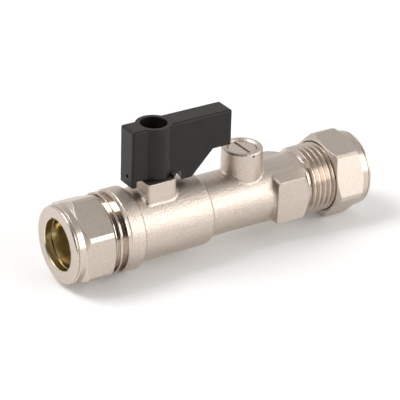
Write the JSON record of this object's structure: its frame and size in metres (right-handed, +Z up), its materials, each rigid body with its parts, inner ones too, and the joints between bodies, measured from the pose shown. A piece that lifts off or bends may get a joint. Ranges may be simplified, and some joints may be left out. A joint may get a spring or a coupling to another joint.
{
  "type": "isolating valve",
  "caption": "Lever isolating valve for copper pipe: quarter-turn ball, check insert, slotted test plug and compression nuts with olives at both ends.",
  "frame": {"origin": "mouth of the inlet's pipe socket, on the pipe axis", "axes": "+X along the pipe with the flow, from the inlet to the outlet; +Z up along the stem to the lever"},
  "size_m": [0.1013, 0.0254, 0.0437],
  "materials": {
    "nickel_plate": "satin nickel plate on forged brass",
    "brass": "plain turned brass",
    "chrome_plate": "polished chrome plate",
    "black_plastic": "satin moulded",
    "seat_plastic": "smooth white",
    "insert_plastic": "moulded ivory",
    "rubber": "matte black",
    "steel": "plain bright steel"
  },
  "bodies": {
    "valve_body": {"valve_body": "nickel_plate", "end_connector": "nickel_plate", "connector_oring": "rubber", "inlet_ball_seat": "seat_plastic", "outlet_ball_seat": "seat_plastic", "stem_thrust_washer": "seat_plastic", "check_housing": "insert_plastic", "check_housing_oring": "rubber", "check_guide": "insert_plastic", "check_circlip": "steel", "check_spring": "steel"},
    "lever": {"lever_handle": "black_plastic", "valve_stem": "nickel_plate", "stem_oring_lower": "rubber", "stem_oring_upper": "rubber", "ball": "chrome_plate", "handle_screw": "steel", "handle_screw_washer": "steel"},
    "poppet": {"check_poppet": "insert_plastic", "poppet_seal": "rubber"},
    "inlet_olive": {"inlet_olive": "brass"},
    "inlet_nut": {"inlet_nut": "nickel_plate"},
    "outlet_olive": {"outlet_olive": "brass"},
    "outlet_nut": {"outlet_nut": "nickel_plate"},
    "plug_ring": {"test_plug_oring": "rubber"},
    "test_plug": {"test_plug": "nickel_plate"}
  },
  "joints": [
    {"name": "lever_turn", "type": "hinge", "parent": "valve_body", "child": "lever", "pos_m": [0.0213, 0, 0.0248], "axis": [0, 0, 1], "range_deg": [0, 90]},
    {"name": "inlet_olive_slide", "type": "slide", "parent": "valve_body", "child": "inlet_olive", "axis": [-1, 0, 0], "range_m": [0, 0.0036]},
    {"name": "inlet_nut_turn", "type": "hinge", "parent": "inlet_olive", "child": "inlet_nut", "pos_m": [-0.0097, 0, 0], "axis": [-1, 0, 0], "range_deg": [0, 720]},
    {"name": "outlet_olive_slide", "type": "slide", "parent": "valve_body", "child": "outlet_olive", "axis": [1, 0, 0], "range_m": [-0.0019, 0.0018]},
    {"name": "outlet_nut_turn", "type": "hinge", "parent": "outlet_olive", "child": "outlet_nut", "pos_m": [0.0916, 0, 0], "axis": [1, 0, 0], "range_deg": [-380, 360]},
    {"name": "plug_ring_slide", "type": "slide", "parent": "valve_body", "child": "plug_ring", "axis": [0, 0, 1], "range_m": [0, 0.0045]},
    {"name": "test_plug_turn", "type": "hinge", "parent": "plug_ring", "child": "test_plug", "pos_m": [0.0518, 0, 0.016], "axis": [0, 0, 1], "range_deg": [0, 1800]},
    {"name": "poppet_slide", "type": "slide", "parent": "valve_body", "child": "poppet", "axis": [1, 0, 0], "range_m": [0, 0.003], "stiffness_N_per_m": 120, "springref_m": -0.001, "deforming": ["check_spring"]}
  ],
  "couplings": [
    {"joint": "inlet_nut_turn", "follows": "inlet_olive_slide", "rad_per_m": 3463.7},
    {"joint": "outlet_nut_turn", "follows": "outlet_olive_slide", "rad_per_m": 3463.7},
    {"joint": "test_plug_turn", "follows": "plug_ring_slide", "rad_per_m": 6927.4}
  ]
}
